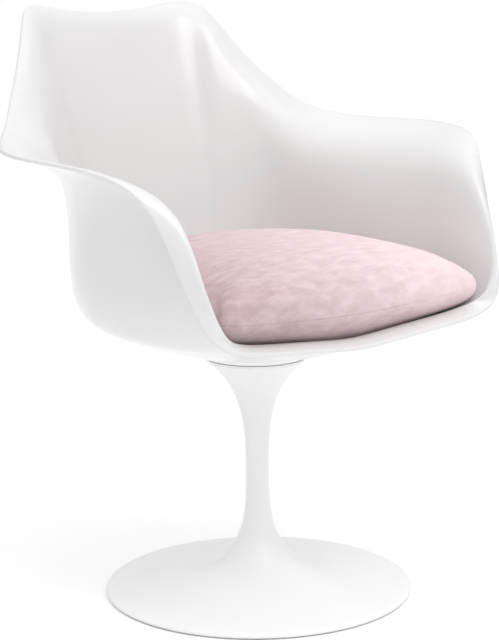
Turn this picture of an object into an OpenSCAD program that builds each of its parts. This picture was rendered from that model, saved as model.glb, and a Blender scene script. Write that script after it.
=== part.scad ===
// Pedestal swivel armchair: a one-piece moulded bucket shell with a loose seat cushion,
// carried by a thrust bearing and a spindle on a trumpet-shaped cast pedestal.
// Millimetres, +Z up, the floor at z = 0, the swivel axis on Z, the sitter faces -Y.

/* [Overall] */
// Height of the swivel seam above the floor
seam_h = 334; // [300:2:360]
// Height of the top edge of the back above the floor of the seat
back_rise = 454; // [400:2:480]
// Height of the arm tops above the floor of the seat
arm_rise = 278; // [250:2:300]
// Width over the arms
shell_w = 714; // [680:2:750]
// Reach of the back's top edge behind the swivel axis
back_reach = 352; // [330:1:380]
// Reach of the front lip ahead of the swivel axis
front_reach = 230; // [220:1:245]

/* [Shell] */
// Thickness of the moulded shell
shell_t = 6; // [5:0.25:7]
// Inside width between the arms at the seat
seat_w = 484; // [450:2:490]
// Inside depth of the seat ahead of the swivel axis
seat_front = 216; // [204:1:222]
// Inside depth of the seat behind the swivel axis
seat_back = 212; // [200:1:224]
// Radius of the flat mounting area in the middle of the seat
flat_r = 97; // [88:1:106]

/* [Pedestal] */
// Diameter of the foot
foot_d = 430; // [380:5:480]
// Diameter of the pedestal at the swivel seam
seam_d = 140; // [130:1:156]
// Diameter of the pedestal at its neck
neck_d = 32.4; // [30:0.2:40]
// Height of the neck's thinnest point above the floor
neck_h = 175; // [160:1:190]
// Wall thickness of the casting's foot
base_wall = 6; // [5:0.5:7]
// Thickness of the foot's outer edge
edge_t = 8; // [7.5:0.5:11]
// Thickness of the glide ring
glide_t = 1.5; // [1:0.25:2]
// Width of the glide ring
glide_w = 10; // [6:1:14]
// Distance of the glide ring in from the foot's edge
glide_in = 5; // [4:0.5:12]

/* [Swivel] */
// Diameter of the spindle
spindle_d = 16; // [14:0.5:18]
// Length of the spindle below its retaining clip
spindle_tail = 4; // [3:0.5:8]
// Wall thickness of the bushes
bush_t = 2.4; // [1.5:0.1:2.8]
// Length of each bush
bush_l = 40; // [25:1:60]
// Outer diameter of the thrust bearing
bearing_d = 88; // [80:1:96]
// Bore of the thrust bearing
bearing_bore = 44; // [38:1:52]
// Thickness of each bearing race
race_t = 3; // [2.5:0.25:4]
// Diameter of the bearing balls
ball_d = 6; // [5.5:0.25:7]
// Number of bearing balls
ball_n = 12; // [8:1:14]
// Thickness of the ball cage
cage_t = 2.6; // [2:0.2:3]
// Wall of the collar at the swivel seam, outside the hub's flange
collar_wall = 5.7; // [4:0.1:8]
// Thickness of the hub's flange
hub_t = 12; // [9:0.5:16]
// Thickness of the rubber gasket under the shell
gasket_t = 3; // [2:0.25:5]
// Height of the open swivel seam
seam_gap = 1; // [0.7:0.1:2]

/* [Fasteners] */
// Distance of the seat screws' centres in from the edge of the hub's flange
screw_in = 18; // [13:1:22]
// Shank diameter of the seat screws
screw_d = 8; // [6:1:10]
// Head diameter of the seat screws
screw_head_d = 16; // [13:1:18]
// Metal left in the hub's flange under the tips of the screws
screw_floor = 3; // [2:0.5:5]
// Thickness of the retaining clip
clip_t = 1.2; // [1:0.1:1.6]
// Thickness of the thrust washer
washer_t = 2.5; // [1.5:0.25:4]

/* [Cushion] */
// Height of the cushion's side seam above the floor of the seat
side_seam_rise = 78; // [68:1:86]
// Rise of the cushion's crown above its side seam
crown = 60; // [45:1:80]
// Space between the cushion's sides and the shell
cushion_clear = 2.5; // [1.5:0.25:8]
// Distance of the cushion's front in from the front lip
cushion_in = 12; // [8:1:24]
// Thickness of the cover fabric
cover_t = 1.4; // [1:0.1:2]
// Diameter of the hook and loop pads
pad_d = 22; // [16:1:26]
// Distance of the pads in from the edge of the flat mounting area
pad_in = 12; // [4:1:16]
// Thickness of each hook or loop pad
pad_t = 1.5; // [1:0.25:2.5]

/* [Hidden] */
$fn = 96;

// Running clearance between shaft and bush, on the radius
run_fit = 0.05;
// Clearance between other neighbours that move past each other
clear = 0.3;
// Radial space round the bearing in its recess, and of the land beside the glide ring
recess_clear = 2;
// Radial space round the washer in its pocket and in the bore, and under the screws' tips
pocket_clear = 1;
// Space under the hub's flange, above the underside of the collar
hub_clear = 0.5;
// Space between the cushion's cover and its foam
foam_clear = 0.3;
// Overrun of every cut
cut = 1;

// Rings of facets per station, round the shell and round the cushion
shell_steps = 3;
cushion_steps = 2;

// The rim, from the middle of the back round the right arm to the middle of the front.
// Each row: side and fore-aft place of the rim as shares of half the width and of the
// reach, its level (0 is the floor of the seat, 1 the arm top, 2 the back's top), how far
// it flares out as a share of half the width, the flare's heading in degrees, and how
// far the flare's root lies below the rim as a share of the arm's height over the seat
rim_shares = [
    [0,     0.995, 1.92,  0.073,  90, 0.215],
    [0.195, 0.995, 1.94,  0.078,  85, 0.215],
    [0.38,  0.98,  2.03,  0.10,   72, 0.215],
    [0.455, 0.90,  1.94,  0.10,   50, 0.20],
    [0.54,  0.795, 1.57,  0.11,   38, 0.17],
    [0.645, 0.69,  1.30,  0.155,  30, 0.17],
    [0.735, 0.58,  1.085, 0.23,   26, 0.16],
    [0.865, 0.425, 1.02,  0.29,   15, 0.15],
    [0.975, 0.215, 1.015, 0.295,   0, 0.15],
    [1.015, 0,     1.005, 0.27,   -5, 0.165],
    [0.915, -0.40, 0.98,  0.24,   10, 0.145],
    [0.79, -0.65,  0.865, 0.14,   38, 0.065],
    [0.75, -0.81,  0.56,  0.10,   55, 0.03],
    [0.71, -0.98,  0.26,  0.062,  32, 0],
    [0.60, -1.01,  0.16,  0.115, -50, -0.015],
    [0.335, -0.975, 0.13, 0.085, -80, -0.022],
    [0.11, -0.98,  0.105, 0.08,  -90, -0.025],
    [0,    -0.98,  0.095, 0.08,  -90, -0.025]];
half_n = len(rim_shares);
loop_n = 2 * half_n - 2;

// Slopes of the dished seat floor, at the foot of the walls and between
dish_shares = [0.28, 0.245];
// Squareness of the seat's plan behind and ahead of the axis
back_square = 2.75;
front_square = 24;
// Radii of the control rings that keep the middle flat, and of the ring outside them
flat_shares = [0.515, 1.031, 1.361];
dish_ring_share = 0.74;
// Limit of the floor's reach as a share of the flare's root, behind and ahead of the axis
root_reach_shares = [1.03, 0.98];
// Greatest rise from the rim to the front foot, as a share of the arm's height
lip_rise_share = 0.01;
// Place of the wall ring between the foot and the root of the flare: out at the sides, out
// at the middle of the back and in front, and up
wall_shares = [0.05, 0.45, 0.5];
// Place of the lip ring between the rim and the root of the flare: out, and down where
// the rim is the higher or the lower of the two
lip_shares = [0.42, 0.22, 0.9];
// Rings round the moulded edge, down from the inside and outward, in thicknesses
edge_shares = [[0.15, 0.3], [0.5, 0.45], [0.85, 0.3]];
// Row places where the shell has rings of points; the first is the edge of the flat area
shell_row_shares = [2, 2.7, 3.3, 3.8, 4.3, 4.8, 5.3, 5.9, 6.5, 7, 7.4, 7.8, 8.2, 8.6, 9];

// A uniform cubic spline over four points, and its slope
function spline(p, t) = ((1 - t) * (1 - t) * (1 - t) * p[0]
    + (3 * t * t * t - 6 * t * t + 4) * p[1]
    + (3 * t + 3 * t * t - 3 * t * t * t + 1) * p[2] + t * t * t * p[3]) / 6;
function spline_slope(p, t) = (-3 * (1 - t) * (1 - t) * p[0] + (9 * t * t - 12 * t) * p[1]
    + (3 + 6 * t - 9 * t * t) * p[2] + 3 * t * t * p[3]) / 6;
// A cubic Bezier curve of n steps over four points
function bezier(p, n) = [for (i = [0:n]) let (t = i / n, s = 1 - t)
    s * s * s * p[0] + 3 * s * s * t * p[1] + 3 * s * t * t * p[2] + t * t * t * p[3]];
function unit(a) = a / norm(a);
function mix(a, b, t) = a + (b - a) * t;
function clamp01(t) = min(1, max(0, t));
// An outline moved to its right by d
function beside(p, d) = [for (i = [0:len(p) - 1])
    let (t = unit(p[min(i + 1, len(p) - 1)] - p[max(i - 1, 0)])) p[i] + d * [t[1], -t[0]]];

// Heights and radii worked out from the sizes above
base_top = seam_h - seam_gap / 2;
collar_under = seam_h + seam_gap / 2;
hub_under = collar_under + hub_clear;
hub_top = hub_under + hub_t;
under_h = hub_top + gasket_t;
pan_h = under_h + shell_t;
arm_h = pan_h + arm_rise;
back_h = pan_h + back_rise;
cushion_seam_h = pan_h + side_seam_rise;
foot_r = foot_d / 2;
seat_r = seam_d / 2;
neck_r = neck_d / 2;
hub_r = seat_r - collar_wall - clear;
screw_r = hub_r - screw_in;
screw_l = pan_h - hub_under - screw_floor;
pad_r = flat_r - pad_in - pad_d / 2;
ball_r = ball_d / 2;
race_pitch = (bearing_d + bearing_bore) / 4;
// How deep the balls run in each race, as a share of their diameter
groove_share = 0.08;
ball_rise = race_t + ball_r - groove_share * ball_d;
// Height of the boss that carries the hub on the upper race, as a share of the race
boss_share = 1.7;
race_top = hub_under - boss_share * race_t;
race_under = race_top - 2 * ball_rise;
bush_r = spindle_d / 2 + run_fit + bush_t;
bore_r = spindle_d / 2 + pocket_clear;
recess_r = bearing_d / 2 + recess_clear;
// Height of the bore's lower end as a share of the neck's height
bore_end_share = 0.675;
bore_end = bore_end_share * neck_h;
washer_under = bore_end - clear - washer_t;
clip_gap = clip_t / 12;
clip_under = washer_under - clip_gap - clip_t;
spindle_under = clip_under - spindle_tail;
// Depth of the clip's groove and width of the clip, as shares of the spindle's radius
clip_shares = [0.11, 0.42];
// Head of the spindle: radius and thickness as shares of the spindle's diameter
head_shares = [0.75, 0.25];

// Outline of the pedestal in shares: out from the neck to the named radius, and up from
// the neck to the seam or down from it to the floor
trumpet_shares = [[0, 0], [0, 0.45], [0.117, 0.755], [1, 1]];
stem_shares = [[0, 0], [0, 0.37], [0.014, 0.54], [0.16, 0.73]];
foot_shares = [[0.16, 0.73], [0.27, 0.875], [0.52, 0.92]];
// Round of the outer edge: in from the rim, and height above the glide ring
edge_round_shares = [[1, 1], [0.4, 0.93], [0.12, 0.72], [0, 0.45], [0.06, 0.2], [0.25, 0]];
// Depth of the rim under the seam as a share of the seam's radius
trumpet_rim_share = 0.05;
trumpet_top = base_top - trumpet_rim_share * seat_r;

function up_point(q) = [mix(neck_r, seat_r, q[0]), mix(neck_h, trumpet_top, q[1])];
function down_point(q) = [mix(neck_r, foot_r, q[0]), neck_h * (1 - q[1])];
function edge_point(q) = [foot_r - q[0] * edge_t, mix(glide_t, edge_t, q[1])];
trumpet_line = bezier([for (q = trumpet_shares) up_point(q)], 14);
stem_line = bezier([for (q = stem_shares) down_point(q)], 8);
foot_line = bezier(concat([for (q = foot_shares) down_point(q)],
    [edge_point(edge_round_shares[0])]), 12);
down_line = concat(stem_line, [for (i = [1:len(foot_line) - 1]) foot_line[i]]);
edge_line = [for (i = [1:len(edge_round_shares) - 1]) edge_point(edge_round_shares[i])];

pocket_r = bush_r + base_wall / 2;
glide_r = foot_r - glide_in;
land_r = glide_r - glide_w - recess_clear;
hollow_line = [for (p = beside(down_line, base_wall))
    if (p[1] < bore_end && p[0] < land_r) [max(p[0], pocket_r), max(p[1], glide_t)]];

module base_casting() {
    outside = concat([for (i = [len(trumpet_line) - 1:-1:1]) trumpet_line[i]],
        down_line, edge_line);
    inside = concat([[land_r, glide_t]],
        [for (i = [len(hollow_line) - 1:-1:0]) hollow_line[i]],
        [[pocket_r, bore_end], [bush_r, bore_end], [bush_r, bore_end + bush_l],
        [bore_r, bore_end + bush_l], [bore_r, race_under - bush_l],
        [bush_r, race_under - bush_l], [bush_r, race_under], [recess_r, race_under],
        [recess_r, base_top], [seat_r, base_top]]);
    color("white") rotate_extrude() polygon(concat(outside, inside));
}

module tube(outer, inner, z, h) {
    translate([0, 0, z]) difference() {
        cylinder(h = h, r = outer);
        translate([0, 0, -cut]) cylinder(h = h + 2 * cut, r = inner);
    }
}

module glide_ring() {
    color("gray") tube(glide_r, glide_r - glide_w, 0, glide_t);
}

module upper_bush() {
    color("ivory") tube(bush_r, spindle_d / 2 + run_fit, race_under - bush_l, bush_l);
}

module lower_bush() {
    color("ivory") tube(bush_r, spindle_d / 2 + run_fit, bore_end, bush_l);
}

// One bearing race, with the ball groove in its upper face
module race() {
    difference() {
        tube(bearing_d / 2, bearing_bore / 2, 0, race_t);
        rotate_extrude() translate([race_pitch, ball_rise]) circle(r = ball_r + clear, $fn = 48);
    }
}

module lower_race() {
    color("silver") translate([0, 0, race_under]) race();
}

module upper_race() {
    color("silver") translate([0, 0, race_top]) mirror([0, 0, 1]) race();
}

module ball_places() {
    for (i = [0:ball_n - 1]) rotate(i * 360 / ball_n)
        translate([race_pitch, 0, race_under + ball_rise]) children();
}

module bearing_balls() {
    color("silver") ball_places() sphere(r = ball_r, $fn = 32);
}

module ball_cage() {
    side = ((bearing_d - bearing_bore) / 4 + ball_r) / 2;
    color("gold") difference() {
        tube(race_pitch + side, race_pitch - side,
            race_under + ball_rise - cage_t / 2, cage_t);
        ball_places() translate([0, 0, -cage_t])
            cylinder(h = 2 * cage_t, r = ball_r + clear, $fn = 32);
    }
}

module screw_places() {
    for (a = [45:90:315]) rotate(a) translate([screw_r, 0, pan_h]) children();
}

// Countersunk screw hanging from z = 0, grown by gap all round
module screw_shape(gap) {
    head_l = (screw_head_d - screw_d) / 2;
    past = gap > 0 ? cut : 0;
    translate([0, 0, -screw_l - past])
        cylinder(h = screw_l + past, d = screw_d + 2 * gap, $fn = 32);
    translate([0, 0, -head_l - gap]) cylinder(h = head_l + gap + past, d1 = screw_d + 2 * gap,
        d2 = screw_head_d + 4 * gap + 2 * past, $fn = 32);
}

module mounting_screws() {
    color("silver") screw_places() screw_shape(0);
}

module swivel_hub() {
    head_r = head_shares[0] * spindle_d;
    head_t = head_shares[1] * spindle_d;
    color("dimgray") difference() {
        union() {
            translate([0, 0, hub_under]) cylinder(h = hub_t, r = hub_r);
            translate([0, 0, race_top]) cylinder(h = hub_under - race_top, d = bearing_d);
        }
        translate([0, 0, race_top - cut])
            cylinder(h = hub_top - race_top + 2 * cut, r = spindle_d / 2 + run_fit);
        translate([0, 0, hub_top - head_t]) cylinder(h = head_t + cut, r = head_r + run_fit);
        screw_places() translate([0, 0, -screw_l - pocket_clear])
            cylinder(h = screw_l, r = screw_d / 2 + run_fit, $fn = 32);
    }
}

module swivel_spindle() {
    head_r = head_shares[0] * spindle_d;
    head_t = head_shares[1] * spindle_d;
    groove_r = (1 - clip_shares[0]) * spindle_d / 2;
    color("silver") difference() {
        union() {
            translate([0, 0, spindle_under])
                cylinder(h = hub_top - spindle_under, d = spindle_d);
            translate([0, 0, hub_top - head_t]) cylinder(h = head_t, r = head_r);
        }
        tube(spindle_d, groove_r, clip_under - clip_gap, clip_t + 2 * clip_gap);
    }
}

module thrust_washer() {
    color("silver") tube(pocket_r - pocket_clear, spindle_d / 2 + clear, washer_under, washer_t);
}

module retaining_clip() {
    inner = (1 - clip_shares[0]) * spindle_d / 2 + run_fit;
    outer = inner + clip_shares[1] * spindle_d / 2;
    color("dimgray") difference() {
        tube(outer, inner, clip_under, clip_t);
        translate([0, -inner / 2, clip_under - cut])
            cube([2 * outer, inner, clip_t + 2 * cut]);
    }
}

module hub_gasket() {
    color("black") difference() {
        translate([0, 0, hub_top]) cylinder(h = gasket_t, r = hub_r);
        screw_places() screw_shape(clear);
    }
}

// Flared ring that hides the hub and carries the pedestal's line on to the shell
collar_shares = [[0, 0], [0.2, 0.33], [0.52, 0.72], [1, 1]];
module swivel_collar() {
    inner = hub_r + clear;
    line = bezier([for (q = collar_shares)
        [mix(seat_r, flat_r, q[0]), mix(collar_under, under_h, q[1])]], 8);
    color("white") rotate_extrude()
        polygon(concat(line, [[inner, under_h], [inner, collar_under]]));
}

// Height of a level of the rim, and reach of an oval in the plan direction (c, s)
function level_h(s) = s <= 1 ? mix(pan_h, arm_h, s) : mix(arm_h, back_h, s - 1);
function oval(c, s, a, b, n) = pow(pow(abs(c) / a, n) + pow(abs(s) / b, n), -1 / n);

function rim_point(r) = [r[0] * shell_w / 2, r[1] * (r[1] > 0 ? back_reach : front_reach),
    level_h(r[2])];
function root_point(r) = rim_point(r) - [r[0] == 0 ? 0 : r[3] * shell_w / 2 * cos(r[4]),
    r[3] * shell_w / 2 * sin(r[4]), r[5] * arm_rise];

// The ten control points of one station, from the middle of the seat out to the rim
function station(r) =
    let (rim = rim_point(r), root = root_point(r),
        plan = [root[0], root[1]], c = unit(plan)[0], s = unit(plan)[1],
        reach = oval(c, s, seat_w / 2, s > 0 ? seat_back : seat_front,
            s > 0 ? back_square : front_square),
        foot = min(reach, norm(plan) * root_reach_shares[s > 0 ? 0 : 1]),
        dish_z = pan_h + dish_shares[0] * (foot - flat_r),
        foot_z = s > 0 ? dish_z : min(dish_z, rim[2] + lip_rise_share * arm_rise),
        foot_p = [foot * c, foot * s, foot_z],
        side = mix(foot_p, root, s > 0
            ? mix(wall_shares[1], wall_shares[0], clamp01(1.6 * abs(c) - 0.6)) : wall_shares[1]),
        wall = [side[0], side[1], mix(foot_z, root[2], wall_shares[2])],
        out = mix(rim, root, lip_shares[0]),
        lip = [out[0], out[1], mix(rim[2], root[2], lip_shares[r[5] > 0 ? 1 : 2])],
        ring = dish_ring_share * foot)
    concat([[0, 0, pan_h]], [for (k = flat_shares) [k * flat_r * c, k * flat_r * s, pan_h]],
        [[ring * c, ring * s, pan_h + dish_shares[1] * max(0, ring - flat_r)],
        foot_p, wall, root, lip, rim]);

half_net = [for (r = rim_shares) station(r)];
// The whole net round the chair, the left half mirrored from the right
net = concat(half_net,
    [for (i = [half_n - 2:-1:1]) [for (p = half_net[i]) [-p[0], p[1], p[2]]]]);
row_n = len(net[0]);

// Control rows with one more beyond each end, so that the surface ends on the rim
function control(i, j) = j < 0 ? 2 * net[i][0] - net[i][1]
    : j >= row_n ? 2 * net[i][row_n - 1] - net[i][row_n - 2] : net[i][j];
function around(i, j) = [for (d = [-1:2]) control((i + d + loop_n) % loop_n, j)];
// Points and slopes of every control row at each facet round the chair
function rings(steps) = [for (j = [-1:row_n]) [for (k = [0:loop_n * steps - 1])
    let (i = floor(k / steps), t = k / steps - i, p = around(i, j))
    [spline(p, t), spline_slope(p, t)]]];
// A point of the inside surface, its upward normal and its outward slope, at facet k and
// row place v
function skin(table, k, v) =
    let (j = min(floor(v), row_n - 2), t = v - j,
        p = [for (d = [0:3]) table[j + d][k][0]], q = [for (d = [0:3]) table[j + d][k][1]])
    [spline(p, t), unit(cross(spline(q, t), spline_slope(p, t))), unit(spline_slope(p, t))];

// A closed form from a first point through rings of n points to a last point. Facets are
// split along one diagonal, and in the bands from turned[0] to turned[1] along the other
module stack(first, loops, last, turned = [0, -1]) {
    n = len(loops[0]);
    m = len(loops);
    polyhedron(points = concat([first], [for (r = loops) each r], [last]), faces = concat(
        [for (k = [0:n - 1]) [0, 1 + k, 1 + (k + 1) % n]],
        [for (r = [0:m - 2], k = [0:n - 1], half = [0, 1])
            let (a = 1 + r * n + k, b = 1 + r * n + (k + 1) % n)
            turned[0] <= r && r <= turned[1] ? (half == 0 ? [a, a + n, b + n] : [a, b + n, b])
                : (half == 0 ? [a, a + n, b] : [b, a + n, b + n])],
        [for (k = [0:n - 1]) [1 + (m - 1) * n + k, 1 + m * n, 1 + (m - 1) * n + (k + 1) % n]]),
        convexity = 6);
}

module seat_shell_form() {
    table = rings(shell_steps);
    n = loop_n * shell_steps;
    last = len(shell_row_shares) - 1;
    skins = [for (v = shell_row_shares) [for (k = [0:n - 1]) skin(table, k, v)]];
    stack([0, 0, pan_h], concat([for (r = skins) [for (s = r) s[0]]],
        [for (e = edge_shares) [for (s = skins[last])
            s[0] - e[0] * shell_t * s[1] + e[1] * shell_t * s[2]]],
        [for (i = [last:-1:0]) [for (s = skins[i]) s[0] - shell_t * s[1]]]),
        [0, 0, under_h]);
}

module seat_shell() {
    color("white") difference() {
        seat_shell_form();
        screw_places() screw_shape(clear);
    }
}

module pads(z) {
    for (a = [0:90:270]) rotate(a) translate([pad_r, 0, z])
        cylinder(h = pad_t, d = pad_d, $fn = 48);
}

module hook_pads() {
    color("dimgray") pads(pan_h);
}

module loop_pads() {
    color("gray") pads(pan_h + pad_t);
}

// The cushion is rings of points: up from its flat underside along the shell, up its side
// to the side seam, and over its crown. Row places on the shell, then heights up the
// side, then radii over the crown as shares of the seam's
cushion_row_shares = [2, 3, 3.8, 4.5, 5.1];
side_shares = [0.35, 0.7, 0.93];
crown_shares = [0.985, 0.94, 0.86, 0.74, 0.57, 0.37, 0.17];
// Powers that shape the crown's profile
crown_powers = [6.4, 0.5];
// Bulge of the side below the seam, as a share of the crown
bulge_share = 0.07;
// Squareness of the cushion's plan behind and ahead of the axis and of its crown's middle,
// and its front flare
cushion_square_shares = [2.6, 20, 4, 0.085];
// Row places where the shell's wall may limit the cushion, and how far below the side
// seam its limit starts, as a share of the crown
wall_row_shares = [for (v = [4.8:0.2:8]) v];
wall_start_share = 0.15;
// Half the angle, in degrees, within which the wall's points limit one place of the cushion
wall_view = 3.5;

cushion_side = seat_w / 2 - 2 * cushion_clear;
cushion_back = seat_back - 2 * cushion_clear;
cushion_front = front_reach - cushion_in;
function cushion_reach(c, s) =
    let (n = s > 0 ? cushion_square_shares[0]
            : mix(cushion_square_shares[0], cushion_square_shares[1], clamp01(-2 * s)),
        a = cushion_side * (1 + cushion_square_shares[3] * clamp01(-1.4 * s)))
    oval(c, s, a, s > 0 ? cushion_back : cushion_front, n);

// The rounder plan that the crown's rings run into towards its middle
function cushion_round(c, s) = oval(c, s, cushion_side, s > 0 ? cushion_back : cushion_front,
    cushion_square_shares[2]);

// The plan of the shell's wall above height z, as points
function wall_plan(table, z) = [for (v = wall_row_shares, k = [0:len(table[0]) - 1])
    let (p = skin(table, k, v)[0]) if (p[2] > z) [p[0], p[1]]];
// Nearest that the wall's plan comes to the axis in the plan direction d
function wall_reach(plan, d) = min([for (p = plan)
    p * d > cos(wall_view) * norm(p) ? norm(p) : shell_w]);

// Rings of the cushion's outside
function cushion_rings() =
    let (table = rings(cushion_steps), n = loop_n * cushion_steps, gap = 2 * pad_t,
        low = [for (v = cushion_row_shares) [for (k = [0:n - 1])
            let (s = skin(table, k, v)) s[0] + gap * s[1]]],
        edge = low[len(low) - 1],
        plan = wall_plan(table, cushion_seam_h - wall_start_share * crown),
        seam = [for (k = [0:n - 1]) let (d = unit([edge[k][0], edge[k][1]]),
            full = cushion_reach(d[0], d[1]),
            wall = wall_reach(plan, d) - cushion_clear)
            [d[0], d[1], min(full, wall), clamp01((wall - full) / crown * 4)]],
        side = [for (h = side_shares) [for (k = [0:n - 1]) let (q = seam[k])
            mix(edge[k], [q[0] * q[2], q[1] * q[2], cushion_seam_h], h)
            + q[3] * bulge_share * crown * sin(180 * h) * [q[0], q[1], 0]]],
        top = [for (h = crown_shares) [for (q = seam)
            let (r = h * mix(min(q[2], cushion_round(q[0], q[1])), q[2], h * h * h))
            [q[0] * r, q[1] * r, cushion_seam_h
            + crown * pow(1 - pow(h, crown_powers[0]), crown_powers[1])]]])
    concat(low, side, [[for (q = seam) [q[0] * q[2], q[1] * q[2], cushion_seam_h]]], top);

cushion_low = [0, 0, pan_h + 2 * pad_t];
cushion_high = [0, 0, cushion_seam_h + crown];
seam_row = len(cushion_row_shares) + len(side_shares);
top_row = seam_row + len(crown_shares);

// The cushion's rings moved inward by t along the form's own normals
function inward(loops, t) = [for (r = [0:len(loops) - 1])
    let (n = len(loops[r])) [for (k = [0:n - 1])
    let (below = r == 0 ? cushion_low : loops[r - 1][k],
        above = r == len(loops) - 1 ? cushion_high : loops[r + 1][k],
        along = loops[r][(k + 1) % n] - loops[r][(k + n - 1) % n])
    loops[r][k] + t * unit(cross(along, above - below))]];

module cushion_base_cover() {
    outer = cushion_rings();
    inner = inward(outer, cover_t);
    color("pink") stack(cushion_low + [0, 0, cover_t], concat(
        [for (r = [0:seam_row]) inner[r]], [for (r = [seam_row:-1:0]) outer[r]]), cushion_low,
        [seam_row, seam_row]);
}

module cushion_top_cover() {
    outer = cushion_rings();
    inner = inward(outer, cover_t);
    color("pink") stack(cushion_high, concat([for (r = [top_row:-1:seam_row]) outer[r]],
        [for (r = [seam_row:top_row]) inner[r]]), cushion_high - [0, 0, cover_t]);
}

module cushion_foam() {
    t = cover_t + foam_clear;
    foam = inward(cushion_rings(), t);
    color("khaki") stack(cushion_high - [0, 0, t],
        [for (r = [top_row:-1:0]) foam[r]], cushion_low + [0, 0, t], [0, top_row]);
}

base_casting();
glide_ring();
upper_bush();
lower_bush();
lower_race();
ball_cage();
bearing_balls();
upper_race();
swivel_hub();
swivel_spindle();
thrust_washer();
retaining_clip();
hub_gasket();
swivel_collar();
seat_shell();
mounting_screws();
hook_pads();
loop_pads();
cushion_base_cover();
cushion_top_cover();
cushion_foam();
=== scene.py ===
# %% [markdown]
# # A pedestal swivel armchair, dressed in Blender
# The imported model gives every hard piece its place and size. This lesson looks at the
# pieces one by one, says what each is on the real chair, and gives it the surface that
# the eye knows it by. All lengths are metres, and the swivel axis stands on the origin.

# %% Load the frame
import math

import bmesh
import bpy
from mathutils import Matrix, Vector


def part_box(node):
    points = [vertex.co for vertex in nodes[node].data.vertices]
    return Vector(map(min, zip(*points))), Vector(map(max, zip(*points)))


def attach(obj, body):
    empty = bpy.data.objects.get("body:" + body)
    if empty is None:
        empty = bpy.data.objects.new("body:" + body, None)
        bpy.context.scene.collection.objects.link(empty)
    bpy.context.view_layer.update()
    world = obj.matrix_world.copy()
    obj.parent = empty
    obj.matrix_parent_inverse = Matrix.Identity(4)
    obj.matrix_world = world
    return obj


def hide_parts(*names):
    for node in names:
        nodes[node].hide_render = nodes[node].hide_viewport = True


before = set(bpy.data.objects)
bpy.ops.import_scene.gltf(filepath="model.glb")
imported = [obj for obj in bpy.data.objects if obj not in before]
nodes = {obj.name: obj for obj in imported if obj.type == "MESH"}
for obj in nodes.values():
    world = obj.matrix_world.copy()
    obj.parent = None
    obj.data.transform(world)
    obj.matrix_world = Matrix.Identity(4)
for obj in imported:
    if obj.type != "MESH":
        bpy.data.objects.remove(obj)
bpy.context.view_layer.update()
scene = bpy.context.scene

# %% [markdown]
# ## The camera
# The photograph was taken from the chair's front left, a little above the arms. Its
# place was solved from the ellipses of the foot and the swivel seam. The long side of
# the picture is 640 pixels, so a focal length of 1905 pixels is 107 mm on a 36 mm sensor.

# %% Camera
AZIMUTH, YAW, PITCH, ROLL = (math.radians(a) for a in (-38, 0.19, 10.91, -0.69))
DISTANCE, EYE_HEIGHT = 2.576, 0.881
SENSOR, FOCAL_SHARE = 36, 1905 / 640


def in_scene(name, data):
    """A new object in the scene with this camera, lamp or mesh."""
    made = bpy.data.objects.new(name, data)
    scene.collection.objects.link(made)
    return made


turn = AZIMUTH + YAW
level_right = Vector((math.cos(turn), math.sin(turn), 0))
level_ahead = Vector((-math.sin(turn), math.cos(turn), 0))
ahead = level_ahead * math.cos(PITCH) - Vector((0, 0, math.sin(PITCH)))
upward = level_ahead * math.sin(PITCH) + Vector((0, 0, math.cos(PITCH)))
right = level_right * math.cos(ROLL) + upward * math.sin(ROLL)
top = upward * math.cos(ROLL) - level_right * math.sin(ROLL)

camera = in_scene("camera", bpy.data.cameras.new("camera"))
camera.data.sensor_width = SENSOR
camera.data.lens = SENSOR * FOCAL_SHARE
camera.matrix_world = Matrix.Translation(
    (DISTANCE * math.sin(AZIMUTH), -DISTANCE * math.cos(AZIMUTH), EYE_HEIGHT)
) @ Matrix((right, top, -ahead)).transposed().to_4x4()
bpy.context.scene.camera = camera
print("camera at", [round(c, 3) for c in camera.location], "lens", round(camera.data.lens, 1))

# %% [markdown]
# ## Colours
# Colours are written as the hex values that a screen shows. Shaders work in linear
# light, where a mid grey is much darker, so one function converts every colour.

# %% Screen colours to linear light
def linear(hex_colour):
    """The linear RGBA of an sRGB hex colour."""
    parts = [int(hex_colour[i : i + 2], 16) / 255 for i in (1, 3, 5)]
    return [c / 12.92 if c <= 0.04045 else ((c + 0.055) / 1.055) ** 2.4 for c in parts] + [1.0]


print("mid grey #808080 in linear light:", round(linear("#808080")[0], 3))

# %% [markdown]
# ## The sky
# A white object on white is drawn by soft shade alone. The backdrop is white to the
# camera. To everything else it is an overcast sky, brighter overhead than at the horizon,
# so that what faces up is almost white and what faces sideways falls into a soft grey.
# Sky and materials are both nets of nodes. One function adds any node to such a net,
# sets its values and links its inputs, so that each net reads as a short recipe. In a
# recipe, a node stands for its first output, and any other output is named.

# %% Overcast sky
HORIZON, ZENITH, BACKDROP = 0.45, 1.43, 1.0


def output_of(source):
    """A node's first output, or the socket itself."""
    return source.outputs[0] if isinstance(source, bpy.types.Node) else source


def add(owner, kind, links=None, colours=(), **values):
    """Adds a node, sets its properties, inputs and ramp colours, and links into it."""
    node = owner.node_tree.nodes.new("ShaderNode" + kind)
    for key, value in values.items():
        if hasattr(node, key):
            setattr(node, key, value)
        else:
            node.inputs[key.replace("_", " ")].default_value = value
    for stop, colour in enumerate(colours):
        node.color_ramp.elements[stop].color = linear(colour)
    for key, source in (links or {}).items():
        owner.node_tree.links.new(output_of(source), node.inputs[key])
    return node


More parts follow.
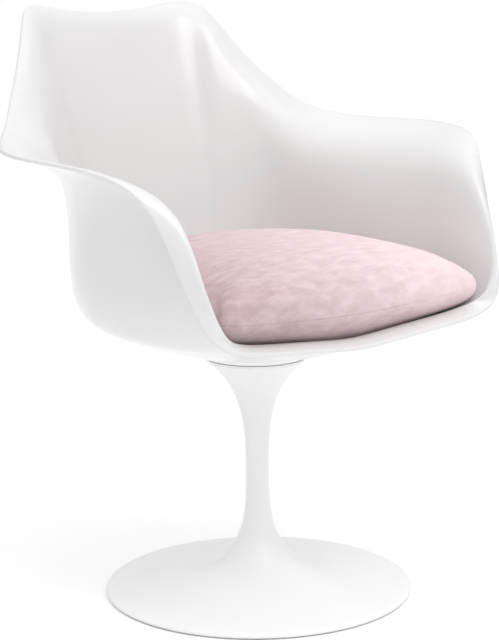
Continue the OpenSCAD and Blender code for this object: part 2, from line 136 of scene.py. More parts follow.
world = bpy.data.worlds.new("white_studio")
scene.world = world
world.use_nodes = True
direction = add(world, "TexCoord").outputs["Generated"]
height = add(world, "SeparateXYZ", {"Vector": direction}).outputs["Z"]
overcast = add(world, "MapRange", {"Value": height}, To_Min=HORIZON, To_Max=ZENITH)
seen = add(world, "LightPath").outputs["Is Camera Ray"]
strength = add(world, "MapRange", {"Value": seen, "To Min": overcast}, To_Max=BACKDROP)
sky = world.node_tree.nodes["Background"]
sky.inputs["Color"].default_value = (1, 1, 1, 1)
world.node_tree.links.new(output_of(strength), sky.inputs["Strength"])
scene.view_settings.view_transform = "Standard"
scene.view_settings.look = "None"
print("sky from", HORIZON, "at the horizon to", ZENITH, "overhead")

# %% [markdown]
# ## The lamps
# A sky alone gives both sides of the chair the same shade. One wide lamp high up on the
# right leaves the faces that look left a little darker, and a smaller one in front
# reaches into the seat.

# %% Lamps
def soft_lamp(name, watts, size, place, target):
    """A square area lamp that stands at one place and points at another."""
    lamp = in_scene(name, bpy.data.lights.new(name, "AREA"))
    lamp.data.energy, lamp.data.size = watts, size
    lamp.location = place
    lamp.rotation_euler = (Vector(target) - Vector(place)).to_track_quat("-Z", "Y").to_euler()


soft_lamp("right_softbox", watts=55, size=4.0, place=(1.0, -2.6, 6.0), target=(0, 0, 0.4))
soft_lamp("front_softbox", watts=18, size=1.2, place=(-0.3, -2.2, 3.0), target=(0, 0.1, 0.4))

# %% [markdown]
# ## The floor
# The floor is part of the studio and not of the chair. It reaches far enough that its
# edges stay out of the picture.

# %% Floor
FLOOR = 6

floor_mesh = bpy.data.meshes.new("studio_floor")
floor_corners = [(-FLOOR, -FLOOR, 0), (FLOOR, -FLOOR, 0), (FLOOR, FLOOR, 0), (-FLOOR, FLOOR, 0)]
floor_mesh.from_pydata(floor_corners, [], [(0, 1, 2, 3)])
floor = in_scene("studio_floor", floor_mesh)
print("floor:", 2 * FLOOR, "m square")

# %% [markdown]
# ## The start of a material
# Every material starts from Blender's Principled shader with typical values of the real
# one, such as its index of refraction. The floor is matt white paint, rolled on: paint
# bends light like most plastics, and a matt one scatters nearly all that it reflects.

# %% Start a material
def start_material(name, **values):
    """A material whose surface shader has these values. Returns it and the shader."""
    material = bpy.data.materials.new(name)
    material.use_nodes = True
    shader = material.node_tree.nodes["Principled BSDF"]
    for key, value in values.items():
        shader.inputs[key.replace("_", " ")].default_value = value
    return material, shader


matt_paint, paint_shader = start_material("rolled_matt_paint", Roughness=0.9, IOR=1.45)
roughness = paint_shader.inputs["Roughness"].default_value
print("started", matt_paint.name, "with roughness", round(roughness, 2))

# %% [markdown]
# ## The end of a material
# A roller leaves a faint stipple about 4 mm wide. Every recipe ends alike: a colour, a
# roughness and a height go to the shader, each where the finish has one. The height
# becomes bump, and its depth is the real depth of the marks.

# %% Rolled matt paint
MM = 0.001


def finish_with(material, shader, colour, roughness, height, depth):
    """Links a colour, a roughness if there is one, and bumps of this depth."""
    links = material.node_tree.links
    links.new(output_of(colour), shader.inputs["Base Color"])
    if roughness:
        links.new(output_of(roughness), shader.inputs["Roughness"])
    bump = add(material, "Bump", {"Height": height}, Strength=1.0, Distance=depth)
    links.new(bump.outputs["Normal"], shader.inputs["Normal"])


place = add(matt_paint, "TexCoord").outputs["Object"]
stipple = add(matt_paint, "TexNoise", {"Vector": place}, Scale=1 / (4 * MM), Detail=2.0)
tone = add(matt_paint, "ValToRGB", {"Fac": stipple}, ("#FBFBFB", "#FEFEFE"))
finish_with(matt_paint, paint_shader, tone, None, stipple, depth=0.02 * MM)
floor.data.materials.append(matt_paint)
print(matt_paint.name, "on", floor.name)

# %% [markdown]
# ## The shell's surface
# The shell is glass-fibre reinforced plastic with a glossy gel coat, sprayed into the
# mould before the fibre goes in. That gives a deep white with a clear, slightly wavy
# reflection, so the recipe is a white base, a coat, and a very low wave about 12 mm long.

# %% Glossy gel coat
gel_coat, shader = start_material(
    "gel_coated_fibreglass", IOR=1.5, Roughness=0.34, Coat_Weight=0.5, Coat_Roughness=0.15
)
place = add(gel_coat, "TexCoord").outputs["Object"]
wave = add(gel_coat, "TexNoise", {"Vector": place}, Scale=1 / (12 * MM), Detail=1.0)
cloud = add(gel_coat, "TexNoise", {"Vector": place}, Scale=1 / (160 * MM), Detail=2.0)
tone = add(gel_coat, "ValToRGB", {"Fac": cloud}, ("#D6D5D5", "#DCDBDB"))
polish = add(gel_coat, "MapRange", {"Value": cloud}, To_Min=0.28, To_Max=0.36)
finish_with(gel_coat, shader, tone, polish, wave, depth=0.05 * MM)
print("made", gel_coat.name)

# %% [markdown]
# ## The pedestal's surface
# The pedestal is cast aluminium under a baked satin lacquer. The lacquer hides the
# metal, and leaves the fine orange peel of a sprayed film, with bumps about 1.5 mm wide.

# %% Baked satin lacquer
satin_lacquer, shader = start_material(
    "lacquered_cast_aluminium", IOR=1.5, Roughness=0.4, Coat_Weight=0.25, Coat_Roughness=0.3
)
place = add(satin_lacquer, "TexCoord").outputs["Object"]
peel = add(satin_lacquer, "TexNoise", {"Vector": place}, Scale=1 / (1.5 * MM), Detail=1.0)
cloud = add(satin_lacquer, "TexNoise", {"Vector": place}, Scale=1 / (90 * MM), Detail=2.0)
tone = add(satin_lacquer, "ValToRGB", {"Fac": cloud}, ("#E9E9E9", "#EEEEEE"))
rough = add(satin_lacquer, "MapRange", {"Value": cloud}, To_Min=0.36, To_Max=0.45)
finish_with(satin_lacquer, shader, tone, rough, peel, depth=0.015 * MM)
print("made", satin_lacquer.name)

# %% [markdown]
# ## The pedestal and the collar
# The CAD model draws the turned forms in narrow bands, each with its own shade. So the
# corners of a copy are joined, and the shade runs on over them as on a real casting.
# Only edges over 30 degrees stay sharp.

# %% Cast pedestal and turned collar
WELD = 0.00002
TURNED_SHARP = 30


def welded_copy(node, name):
    """A copy of a CAD node's mesh with its split corners joined."""
    work = bmesh.new()
    work.from_mesh(nodes[node].data)
    bmesh.ops.remove_doubles(work, verts=work.verts, dist=WELD)
    mesh = bpy.data.meshes.new(name)
    work.to_mesh(mesh)
    work.free()
    old_shade = mesh.attributes.get("custom_normal")
    if old_shade:
        mesh.attributes.remove(old_shade)
    return in_scene(name, mesh)


def shade_smooth(piece, sharp_degrees):
    """Smooth shade everywhere but across edges sharper than this."""
    for face in piece.data.polygons:
        face.use_smooth = True
    piece.data.set_sharp_from_angle(angle=math.radians(sharp_degrees))


for node, name, body, slot in (
    ("base_casting", "cast_pedestal", "base", "base_lacquer"),
    ("swivel_collar", "turned_collar", "seat", "shell_gloss"),
):
    piece = welded_copy(node, name)
    piece.data.materials.clear()
    piece.data.materials.append(satin_lacquer)
    shade_smooth(piece, TURNED_SHARP)
    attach(piece, body)
    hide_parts(node)
    before, after = len(nodes[node].data.vertices), len(piece.data.vertices)
    print(name, "faces:", len(piece.data.polygons), "corners:", before, "joined to", after)

# %% [markdown]
# ## The small parts inside the swivel
# They only show when the chair is taken apart, and each is told by its metal or its
# plastic. Ground bearing steel is the brightest, blackened and oiled steels are dark,
# zinc plating is pale, and brass is a warm yellow. Turned and ground metal has fine rings
# round its axis, so its grain is a noise drawn out round it. Real marks are finer than
# the picture can show, so they are drawn about a millimetre wide.

# %% Metals
ALONG_RINGS = (0.08, 0.08, 1.0)


def metal(name, dark, light, roughness, grain):
    """A metal with fine marks of the given width in mm, drawn out round the axis."""
    material, shader = start_material(name, Metallic=1.0)
    place = add(material, "TexCoord").outputs["Object"]
    rings = add(material, "Mapping", {"Vector": place}, Scale=ALONG_RINGS)
    marks = add(material, "TexNoise", {"Vector": rings}, Scale=1 / (grain * MM), Detail=2.0)
    tone = add(material, "ValToRGB", {"Fac": marks}, (dark, light))
    low, high = roughness * 0.8, roughness * 1.2
    rough = add(material, "MapRange", {"Value": marks}, To_Min=low, To_Max=high)
    finish_with(material, shader, tone, rough, marks, depth=0.01 * MM)
    return material


def dress(node_names, material):
    """Gives CAD nodes this material."""
    for name in node_names:
        slots = nodes[name].data.materials
        slots.clear()
        slots.append(material)
    print(material.name, "on", ", ".join(node_names))


for name, dark, light, roughness, grain, pieces in (
    ("ground_bearing_steel", "#B9BABD", "#CDCED1", 0.16, 0.6,
     ["lower_race", "upper_race", "bearing_balls"]),
    ("turned_steel", "#A9AAAD", "#BEBFC2", 0.26, 0.8, ["swivel_spindle"]),
    ("blackened_steel", "#2B2C2F", "#3B3C40", 0.42, 1.2, ["swivel_hub"]),
    ("stamped_steel", "#96979A", "#B0B1B4", 0.34, 1.0, ["thrust_washer"]),
    ("oiled_spring_steel", "#3F3E40", "#57565A", 0.3, 0.8, ["retaining_clip"]),
    ("zinc_plated_steel", "#BFC2C4", "#D6D8D8", 0.3, 0.7, ["mounting_screws"]),
    ("stamped_brass", "#B08B45", "#CDA860", 0.3, 0.9, ["ball_cage"]),
):
    dress(pieces, metal(name, dark, light, roughness, grain))

# %% [markdown]
# ## Plastics and rubber
# The glide ring is moulded polyethylene, the bushes are machined from acetal, and the
# gasket is cut from a rubber sheet. Such surfaces have an even, fine grain without a
# direction, so one recipe serves all three, with a colour and a roughness of their own.
# The grain is drawn about a millimetre wide, coarser than it is, so that it shows.

# %% Plastics and rubber
def moulded(name, dark, light, roughness, grain):
    """A plastic or rubber with an even grain of the given width in mm."""
    material, shader = start_material(name, IOR=1.5)
    place = add(material, "TexCoord").outputs["Object"]
    grit = add(material, "TexNoise", {"Vector": place}, Scale=1 / (grain * MM), Detail=3.0)
    tone = add(material, "ValToRGB", {"Fac": grit}, (dark, light))
    low, high = roughness * 0.85, roughness * 1.1
    rough = add(material, "MapRange", {"Value": grit}, To_Min=low, To_Max=high)
    finish_with(material, shader, tone, rough, grit, depth=0.03 * MM)
    return material


dress(["glide_ring"], moulded("moulded_polyethylene", "#A4A5A8", "#AEAFB2", 0.55, 1.0))
dress(["upper_bush", "lower_bush"], moulded("machined_acetal", "#E4DFD0", "#EEEADD", 0.4, 0.8))
dress(["hub_gasket"], moulded("cut_sheet_rubber", "#1C1C1D", "#28282A", 0.8, 0.9))

# %% [markdown]
# ## Hook pads
# The pads on the shell are fields of stiff nylon hooks in rows about 1.2 mm apart. Two
# waves crossed at that spacing draw them. A wave texture of scale 1 has a crest every
# 2 pi / 20 metres, which gives the scale for the real spacing.

# %% Woven nylon hooks
HOOK_SPACING = 1.2

hook_tape, shader = start_material("woven_nylon_hooks", Roughness=0.6, IOR=1.53)
place = add(hook_tape, "TexCoord").outputs["Object"]
crests = 2 * math.pi / (20 * HOOK_SPACING * MM)
rows, ranks = (
    add(hook_tape, "TexWave", {"Vector": place}, Scale=crests, bands_direction=way).outputs["Fac"]
    for way in ("X", "Y")
)
hooks = add(hook_tape, "Math", {0: rows, 1: ranks}, operation="MULTIPLY")
tone = add(hook_tape, "ValToRGB", {"Fac": hooks}, ("#1F1F21", "#4A4A4D"))
finish_with(hook_tape, shader, tone, None, hooks, depth=0.4 * MM)
dress(["hook_pads"], hook_tape)

# %% [markdown]
# ## Loop pads
# The pads under the cushion are a felt of soft loops. These have no rows, so a cell
# pattern of 1 mm gives the felt its knotted look, and sheen its soft edge.

# %% Knitted nylon loops
loop_felt, shader = start_material("knitted_nylon_loops", Roughness=0.9, Sheen_Weight=0.4)
place = add(loop_felt, "TexCoord").outputs["Object"]
knots = add(loop_felt, "TexVoronoi", {"Vector": place}, Scale=1 / (1.0 * MM))
tone = add(loop_felt, "ValToRGB", {"Fac": knots}, ("#B9AEB0", "#8D8385"))
finish_with(loop_felt, shader, tone, None, knots, depth=0.3 * MM)
dress(["loop_pads"], loop_felt)

# %% [markdown]
# ## The shell's sizes
# The CAD shell has the right form in flat facets, and gloss shows every facet. So the
# same form is made again as a fine net. A table gives the rim from the middle of the
# back round one arm to the middle of the front lip, in shares of the sizes above it.

# %% The shell's sizes
PAN, UNDER, SHELL_THICK = 0.356, 0.350, 0.006
ARM_RISE, BACK_RISE = 0.278, 0.454
HALF_WIDTH, BACK_REACH, FRONT_REACH = 0.357, 0.352, 0.230
SEAT_HALF, FLAT_RADIUS = 0.242, 0.097

# side, fore-aft place, level, flare, flare's heading in degrees, drop to the flare's root
RIM = [
    (0, 0.995, 1.92, 0.073, 90, 0.215),
    (0.195, 0.995, 1.94, 0.078, 85, 0.215),
    (0.38, 0.98, 2.03, 0.10, 72, 0.215),
    (0.455, 0.90, 1.94, 0.10, 50, 0.20),
    (0.54, 0.795, 1.57, 0.11, 38, 0.17),
    (0.645, 0.69, 1.30, 0.155, 30, 0.17),
    (0.735, 0.58, 1.085, 0.23, 26, 0.16),
    (0.865, 0.425, 1.02, 0.29, 15, 0.15),
    (0.975, 0.215, 1.015, 0.295, 0, 0.15),
    (1.015, 0, 1.005, 0.27, -5, 0.165),
    (0.915, -0.40, 0.98, 0.24, 10, 0.145),
    (0.79, -0.65, 0.865, 0.14, 38, 0.065),
    (0.75, -0.81, 0.56, 0.10, 55, 0.03),
    (0.71, -0.98, 0.26, 0.062, 32, 0),
    (0.60, -1.01, 0.16, 0.115, -50, -0.015),
    (0.335, -0.975, 0.13, 0.085, -80, -0.022),
    (0.11, -0.98, 0.105, 0.08, -90, -0.025),
    (0, -0.98, 0.095, 0.08, -90, -0.025),
]
print("rim:", len(RIM), "places from the back's middle to the front lip's middle")

# %% [markdown]
# ## The shell's control net
# Ten control points lead from the seat's middle out to each rim point: three rings of
# the flat middle, the bowl round it, the foot, middle and root of the wall, and the lip
# below the rim. The flare runs from the root out to the rim. At the back the seat's
# outline is nearly an oval, and at the front nearly square.

# %% The shell's control net
# the seat's depth, how square its outline is, and how far it may pass the wall's root
BACK_OUTLINE = (0.212, 2.75, 1.03)
FRONT_OUTLINE = (0.216, 24, 0.98)
# rings of the flat middle in shares of its radius, and the bowl's ring in shares of the foot's
FLAT_RINGS, BOWL_RING = (0.515, 1.031, 1.361), 0.74
# how steeply the seat climbs to each, and how far the foot may top the rim, in arm rises
BOWL_SLOPE, FOOT_SLOPE, FRONT_STEP = 0.245, 0.28, 0.01
# where the wall's middle lies between foot and root, and how much steeper it is at the sides
WALL_OUT, SIDE_STEEPER, SIDE_GAIN, SIDE_START = 0.45, 0.40, 1.6, 0.6
# how far the lip lies on the way from rim to root: inwards, down, and down at the front
LIP_IN, LIP_DOWN, FRONT_LIP_DOWN = 0.42, 0.22, 0.9


def oval_reach(c, s, across, along, square):
    """How far an oval reaches in direction c, s. A higher square makes it more square."""
    return ((abs(c) / across) ** square + (abs(s) / along) ** square) ** (-1 / square)


def station(side, place, level, flare, heading, drop):
    """Ten control points from the middle of the seat to one place on the rim."""
    height = PAN + level * ARM_RISE
    if level > 1:
        height = PAN + ARM_RISE + (level - 1) * (BACK_RISE - ARM_RISE)
    rim = Vector((side * HALF_WIDTH, place * (BACK_REACH if place > 0 else FRONT_REACH), height))
    aside = 0 if side == 0 else flare * HALF_WIDTH * math.cos(math.radians(heading))
    aback = flare * HALF_WIDTH * math.sin(math.radians(heading))
    root = rim - Vector((aside, aback, drop * ARM_RISE))
    across = math.hypot(root.x, root.y)
    c, s = root.x / across, root.y / across
    depth, square, past = BACK_OUTLINE if s > 0 else FRONT_OUTLINE
    foot_r = min(oval_reach(c, s, SEAT_HALF, depth, square), across * past)
    dish = PAN + FOOT_SLOPE * (foot_r - FLAT_RADIUS)
    foot_z = dish if s > 0 else min(dish, rim.z + FRONT_STEP * ARM_RISE)
    foot = Vector((foot_r * c, foot_r * s, foot_z))
    at_side = min(1, max(0, SIDE_GAIN * abs(c) - SIDE_START))
    wall = foot.lerp(root, WALL_OUT if s <= 0 else WALL_OUT - SIDE_STEEPER * at_side)
    wall.z = (foot.z + root.z) / 2
    lip = rim.lerp(root, LIP_IN)
    lip.z = rim.z + (root.z - rim.z) * (LIP_DOWN if drop > 0 else FRONT_LIP_DOWN)
    ring = BOWL_RING * foot_r
    flats = [Vector((k * FLAT_RADIUS * c, k * FLAT_RADIUS * s, PAN)) for k in FLAT_RINGS]
    bowl = Vector((ring * c, ring * s, PAN + BOWL_SLOPE * max(0, ring - FLAT_RADIUS)))
    return [Vector((0, 0, PAN))] + flats + [bowl, foot, wall, root, lip, rim]


half = [station(*row) for row in RIM]
net = half + [[Vector((-p.x, p.y, p.z)) for p in half[i]] for i in range(len(RIM) - 2, 0, -1)]
print("control net:", len(net), "stations of", len(net[0]), "points")

# %% [markdown]
# ## Splines over the net
# Uniform cubic splines join the control points both ways. A spline point is a weighted
# mean of four control points, and its slope comes from the same four. The cross product
# of the slopes along and across gives the direction in which the shell's thickness is
# laid off, so the wall is 6 mm thick everywhere.

# %% Points and slopes on the net
def weights(t):
    """What each of four control points counts for, at share t between the middle two."""
    return (
        (1 - t) ** 3 / 6,
        (3 * t**3 - 6 * t * t + 4) / 6,
        (3 * t + 3 * t * t - 3 * t**3 + 1) / 6,
        t**3 / 6,
    )


def slope_weights(t):
    """What each of the four counts for in the slope there."""
    return (-((1 - t) ** 2) / 2, (9 * t * t - 12 * t) / 6, (3 + 6 * t - 9 * t * t) / 6, t * t / 2)


def control(i, j):
    """Control point j of station i. Past either end, the row runs straight on."""
    row = net[i % len(net)]
    if j < 0:
        return row[0] * 2 - row[1]
    if j >= len(row):
        return row[-1] * 2 - row[-2]
    return row[j]


def skin(u, v):
    """A point of the inside face, its upward normal and its outward slope, at place u
    round the chair and row place v."""
    i, j = math.floor(u), min(math.floor(v), len(net[0]) - 2)
    wu, du = weights(u - i), slope_weights(u - i)
    wv, dv = weights(v - j), slope_weights(v - j)
    point, along, outward = Vector(), Vector(), Vector()
    for a in range(4):
        for b in range(4):
            p = control(i - 1 + a, j - 1 + b)
            point += p * (wu[a] * wv[b])
            along += p * (du[a] * wv[b])
            outward += p * (wu[a] * dv[b])
    return point, outward.cross(along).normalized() * -1, outward.normalized()


FIRST_ROW, RIM_ROW = 2, 9
print("rim at the back's middle:", [round(c, 3) for c in skin(0, RIM_ROW)[0]])

# %% [markdown]
# ## The shell's rings
# Rings of points run round the chair. They start at the seat's flat middle, climb the
# inside to the rim, turn over the moulded edge and come back down the outside. The edge
# is a half round of five rings, because a trimmed and polished edge catches a thin line
# of light.

# %% The shell's rings
STEPS_ROUND, STEPS_UP = 7, 42
# how far each ring of the edge lies below the inside face and beyond the rim, in wall thicknesses
EDGE = [(0.06, 0.22), (0.22, 0.40), (0.5, 0.5), (0.78, 0.40), (0.94, 0.22)]

places = [k / STEPS_ROUND for k in range(len(net) * STEPS_ROUND)]
levels = [FIRST_ROW + (RIM_ROW - FIRST_ROW) * k / STEPS_UP for k in range(STEPS_UP + 1)]
inside = [[skin(u, v) for u in places] for v in levels]
rings = [[p for p, normal, outward in row] for row in inside]
for down, beyond in EDGE:
    rings.append([
        p - normal * (down * SHELL_THICK) + outward * (beyond * SHELL_THICK)
        for p, normal, outward in inside[-1]
    ])
rings += [[p - normal * SHELL_THICK for p, normal, outward in row] for row in reversed(inside)]
print("rings:", len(rings), "of", len(places), "points")

# %% [markdown]
# ## The shell's mesh
# Bands of four-sided faces join each ring to the next. A fan of triangles closes the
# seat's flat middle above, and another closes it below, so the shell is one closed skin.

# %% The shell's mesh
def mesh_from_rings(name, rings, first, last):
    """A closed mesh: a fan from first to the first ring, bands, and a fan to last."""
    n = len(rings[0])
    points = [first] + [p for ring in rings for p in ring] + [last]
    faces = [(0, 1 + k, 1 + (k + 1) % n) for k in range(n)]
    for r in range(len(rings) - 1):
        for k in range(n):
            a, b = 1 + r * n + k, 1 + r * n + (k + 1) % n
            faces.append((a, a + n, b + n, b))
    start = 1 + (len(rings) - 1) * n
    faces += [(start + k, len(points) - 1, start + (k + 1) % n) for k in range(n)]
    mesh = bpy.data.meshes.new(name)
    mesh.from_pydata(points, [], faces)
    mesh.validate()
    return in_scene(name, mesh)


shell = mesh_from_rings("moulded_shell", rings, Vector((0, 0, PAN)), Vector((0, 0, UNDER)))
print("shell faces:", len(shell.data.polygons))

# %% [markdown]
# ## A tool for the screw holes
# Four countersunk holes let the screws' heads lie flush under the cushion. They are
# drilled after the shell is moulded, and here too they are cut out of the finished form.
# The tool has the shape of the screw, with 0.3 to 0.6 mm of room round it.

# %% A tool for the screw holes
SCREW_RING, SHANK, HEAD, ROOM = 0.046, 0.004, 0.008, 0.0003
TOOL_DOWN, TOOL_UP, TURNS = 0.012, 0.004, 32


def screw_tool(name):
    """Four closed countersink forms, in one object."""
    profile = [
        (SHANK + ROOM, -TOOL_DOWN),
        (SHANK + ROOM, -(HEAD - SHANK) - ROOM),
        (HEAD + 2 * ROOM, ROOM),
        (HEAD + 2 * ROOM, TOOL_UP),
    ]
    points, faces = [], []
    for quarter in range(4):
        angle = math.radians(45 + 90 * quarter)
        centre = Vector((SCREW_RING * math.cos(angle), SCREW_RING * math.sin(angle), PAN))
        first = len(points)
        for r, z in profile:
            for k in range(TURNS):
                a = 2 * math.pi * k / TURNS
                points.append(centre + Vector((r * math.cos(a), r * math.sin(a), z)))
        for row in range(len(profile) - 1):
            for k in range(TURNS):
                a, b = first + row * TURNS + k, first + row * TURNS + (k + 1) % TURNS
                faces.append((a, b, b + TURNS, a + TURNS))
        faces.append([first + TURNS - 1 - k for k in range(TURNS)])
        faces.append([first + (len(profile) - 1) * TURNS + k for k in range(TURNS)])
    mesh = bpy.data.meshes.new(name)
    mesh.from_pydata(points, [], faces)
    return in_scene(name, mesh)


tool = screw_tool("screw_tool")
print("tool faces:", len(tool.data.polygons))

# %% [markdown]
# ## Screw holes in the shell
# A boolean modifier cuts the tool out of the shell. Edges over 44 degrees stay sharp,
# which keeps the floor's shade flat round each hole, while the rings of the moulded
# edge, up to 40 degrees apart, still look round.

# %% Screw holes
SHELL_SHARP = 44


def apply_modifiers(piece):
    """Replaces a piece's mesh by what its modifiers make of it."""
    graph = bpy.context.evaluated_depsgraph_get()
    mesh = bpy.data.meshes.new_from_object(piece.evaluated_get(graph), depsgraph=graph)
    piece.modifiers.clear()
    piece.data = mesh


cut = shell.modifiers.new("screw_holes", "BOOLEAN")
cut.object, cut.operation, cut.solver = tool, "DIFFERENCE", "EXACT"
apply_modifiers(shell)
bpy.data.objects.remove(tool)
shell.data.materials.clear()
shell.data.materials.append(gel_coat)
shade_smooth(shell, SHELL_SHARP)
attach(shell, "seat")
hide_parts("seat_shell")
print("shell with holes:", len(shell.data.polygons))

# %% [markdown]
# ## The cushion's net
# The cushion is a foam core in a cover of two panels: a domed top panel, and one panel
# for the side and underside, sewn together all round. Fabric under the push of foam
# takes a form that no profile gives. So the core is cast as an even net, laid a little
# flatter than it should be, for a cloth simulation to blow up again.

# %% The cushion's net
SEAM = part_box("cushion_base_cover")[1].z
CROWN_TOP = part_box("cushion_top_cover")[1].z
FLATTEN, NET_SIZE = 0.95, 0.006


def scale_crown(piece, factor):
    """Scales the height of what stands above the seam."""
    for vertex in piece.data.vertices:
        if vertex.co.z > SEAM:
            vertex.co.z = SEAM + (vertex.co.z - SEAM) * factor


cushion = welded_copy("cushion_foam", "cushion")
scale_crown(cushion, FLATTEN)
even = cushion.modifiers.new("even_net", "REMESH")
even.mode, even.voxel_size = "VOXEL", NET_SIZE
apply_modifiers(cushion)
print("cushion net:", len(cushion.data.vertices), "points")

# %% [markdown]
# ## The cushion, blown up as cloth
# Air pressure inside the net stands for the foam. The underside lies on the shell, so it
# is held, and the hold fades out in the 20 mm below the seam. No point may move more
# than 12 mm, which keeps the cushion in the room that the CAD foam has.

# %% The cushion, blown up as cloth
HOLD_FADE, MOST_MOVE = 0.02, 0.012
PRESSURE, STIFFNESS, QUALITY, LAST_FRAME = 4, 15, 2, 14

held = cushion.vertex_groups.new(name="held")
for vertex in cushion.data.vertices:
    below = (SEAM - vertex.co.z) / HOLD_FADE
    held.add([vertex.index], min(1.0, max(0.0, below)), "REPLACE")


def blow_up(piece):
    """Runs cloth simulation with air pressure, and leaves the result in the mesh."""
    for node in nodes.values():
        node.hide_viewport = True
    cloth = piece.modifiers.new("cloth", "CLOTH")
    cloth.settings.quality = QUALITY
    cloth.settings.use_pressure = True
    cloth.settings.uniform_pressure_force = PRESSURE
    cloth.settings.vertex_group_mass = held.name
    cloth.settings.tension_stiffness = cloth.settings.compression_stiffness = STIFFNESS
    cloth.settings.effector_weights.gravity = 0
    cloth.collision_settings.use_collision = False
    cloth.point_cache.frame_start, cloth.point_cache.frame_end = 1, LAST_FRAME
    for number in range(1, LAST_FRAME + 1):
        scene.frame_set(number)
    apply_modifiers(piece)
    scene.frame_set(1)
    for node in nodes.values():
        node.hide_viewport = False


at_rest = [v.co.copy() for v in cushion.data.vertices]
blow_up(cushion)
moved = [(v.co - rest).length for v, rest in zip(cushion.data.vertices, at_rest)]
for vertex, rest, far in zip(cushion.data.vertices, at_rest, moved):
    if far > MOST_MOVE:
        vertex.co = rest + (vertex.co - rest) * (MOST_MOVE / far)
print("cushion blown up, moved up to", round(max(moved) * 1000, 1), "mm")

# %% [markdown]
# ## The cushion's height and cover
# The foam decides how high the crown stands, so the blown form is scaled between the
# seam and its highest point until it is as high as the cover. Then one subdivision
# rounds the net, and the surface is moved out by the cover's thickness. From 30 mm above
# the shell's floor it is moved out a little more, and from 60 mm by the whole of it, to
# make up for what the smoothing took off.

# %% The cushion's height and cover
COVER, FULLNESS, FREE_FROM = 0.0016, 0.0014, 0.03
SMOOTHING, SMOOTHINGS = 0.5, 8

peak = max(v.co.z for v in cushion.data.vertices)
lift = (CROWN_TOP - COVER - SEAM) / (peak - SEAM)
scale_crown(cushion, lift)
smooth = cushion.modifiers.new("settle", "SMOOTH")
smooth.factor, smooth.iterations = SMOOTHING, SMOOTHINGS
finer = cushion.modifiers.new("finer", "SUBSURF")
finer.levels = finer.render_levels = 1
apply_modifiers(cushion)
normals = [v.normal.copy() for v in cushion.data.vertices]
for vertex, normal in zip(cushion.data.vertices, normals):
    free = min(1, max(0, (vertex.co.z - PAN) / FREE_FROM - 1))
    vertex.co += normal * (COVER + FULLNESS * free)
print("crown raised by a factor of", round(lift, 3))

# %% [markdown]
# ## The seam
# The panels are sewn together with the stitches inside, so all that shows is a narrow
# groove. In the middle of the front the line hangs a little, where the cloth gives. The
# net is lowered to a straight line for the cut, gets a row of corners on each side of it,
# and the cut edges are drawn in. Then the hang is put back.

# %% Seam and panels
SAG, HANG_REACH = 0.012, 0.22
GROOVE_DEPTH, GROOVE_HALF = 0.0008, 0.0024


def hang(point):
    """How far the seam hangs below its level at the sides."""
    ahead, aside = max(0, -point.y / HANG_REACH), min(1, abs(point.x) / HANG_REACH)
    return SAG * ahead**3 * (1 - aside * aside)


def panel(name, keep_top):
    """The part of the cushion above or below the seam, as an open sheet."""
    work = bmesh.new()
    work.from_mesh(cushion.data)
    for vert in work.verts:
        vert.co.z += hang(vert.co)
    for rise in (GROOVE_HALF, -GROOVE_HALF, 0):
        bmesh.ops.bisect_plane(
            work,
            geom=work.verts[:] + work.edges[:] + work.faces[:],
            plane_co=(0, 0, SEAM + rise),
            plane_no=(0, 0, 1),
            clear_inner=rise == 0 and keep_top,
            clear_outer=rise == 0 and not keep_top,
        )
    for vert in work.verts:
        if vert.is_boundary:
            inward = Vector((vert.co.x, vert.co.y, 0)).normalized()
            vert.co -= inward * GROOVE_DEPTH
        vert.co.z -= hang(vert.co)
    mesh = bpy.data.meshes.new(name)
    work.to_mesh(mesh)
    work.free()
    for face in mesh.polygons:
        face.use_smooth = True
    return in_scene(name, mesh)


top_panel = panel("cushion_top_panel", True)
side_panel = panel("cushion_side_panel", False)
bpy.data.objects.remove(cushion)
print("panels:", len(top_panel.data.polygons), len(side_panel.data.polygons))

# %% [markdown]
# ## Crushed velvet
# Velvet is a woven ground with a short cut pile. Pile that leans towards the eye looks
# dark, and pile that leans away shines, so a crushed velvet shows pale and dark streaks
# a few centimetres long, drawn out across the seat. Painted shade on top of the streaks
# makes the seat paler towards its left arm and higher up, and darker down over the
# front. Sheen gives the bright edge that pile has where it is seen from the side.

# %% The velvet's streaks and painted shade
STREAK_SQUEEZE, STREAK_TURN = (1.0, 2.6, 1.6), (0, 0, math.radians(-24))
# painted shade: how much paler the pile is painted for each metre to the left, back and up
SHADE_SLOPE = (2.0, -0.6, 2.2)
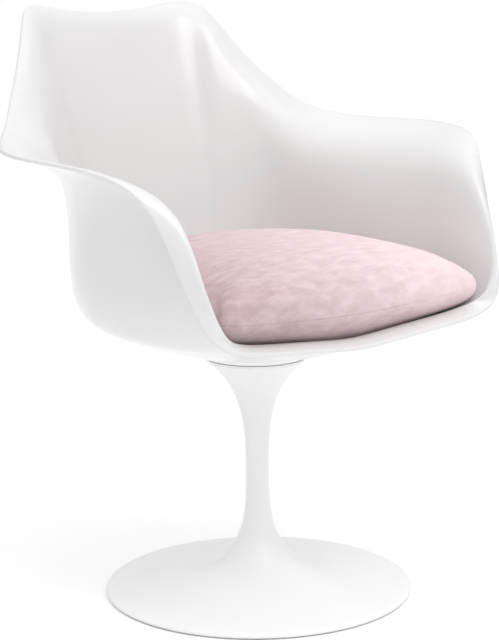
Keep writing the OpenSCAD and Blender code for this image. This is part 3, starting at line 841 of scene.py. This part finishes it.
# streaks and painted shade together, where the pile is darkest and where it is palest
STREAKS_AND_SHADE_DARK, STREAKS_AND_SHADE_PALE = 1.16, 1.99

velvet, shader = start_material(
    "crushed_velvet", Roughness=0.9, IOR=1.45, Sheen_Weight=0.3, Sheen_Roughness=0.4
)
shader.inputs["Sheen Tint"].default_value = linear("#FFF1F3")
place = add(velvet, "TexCoord").outputs["Object"]
across = add(velvet, "Mapping", {"Vector": place}, Scale=STREAK_SQUEEZE, Rotation=STREAK_TURN)
warp = add(velvet, "TexNoise", {"Vector": across}, Scale=1 / (60 * MM), Detail=2.0)
push = add(velvet, "VectorMath", {0: warp.outputs["Color"]}, operation="SCALE", Scale=30 * MM)
bent = add(velvet, "VectorMath", {0: across, 1: push}, operation="ADD")
streaks = add(
    velvet, "TexNoise", {"Vector": bent}, Scale=1 / (26 * MM), Detail=6.0, Roughness=0.62
)
# painted shade: paler towards the left arm and upwards, darker down over the front
painted_shade = add(velvet, "VectorMath", {0: place}, operation="DOT_PRODUCT")
painted_shade.inputs[1].default_value = SHADE_SLOPE
streaks_and_shade = add(velvet, "Math", {0: streaks, 1: painted_shade.outputs["Value"]}, operation="ADD")
nap_and_shade = add(velvet, "MapRange", {"Value": streaks_and_shade}, From_Min=STREAKS_AND_SHADE_DARK, From_Max=STREAKS_AND_SHADE_PALE)
tone = add(velvet, "ValToRGB", {"Fac": nap_and_shade}, ("#B39C9F", "#E6D1D4"))
print("velvet nodes:", len(velvet.node_tree.nodes))

# %% [markdown]
# ## The velvet's pile
# The pile itself is a fine grain. Real pile is finer than the picture can show, so it is
# drawn 0.9 mm wide. The streaks count for as much of the relief as the grain does,
# because crushed pile lies lower. Both panels are cut from the same cloth, and stand for
# a tightly filled cushion.

# %% The velvet's pile
pile = add(velvet, "TexNoise", {"Vector": place}, Scale=1 / (0.9 * MM), Detail=2.0)
relief = add(velvet, "Math", {0: pile, 1: streaks}, operation="ADD")
finish_with(velvet, shader, tone, None, relief, depth=0.14 * MM)
for piece in (top_panel, side_panel):
    piece.data.materials.append(velvet)
    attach(piece, "cushion")
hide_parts("cushion_top_cover", "cushion_foam")
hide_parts("cushion_base_cover")
print("velvet on", top_panel.name, "and", side_panel.name)
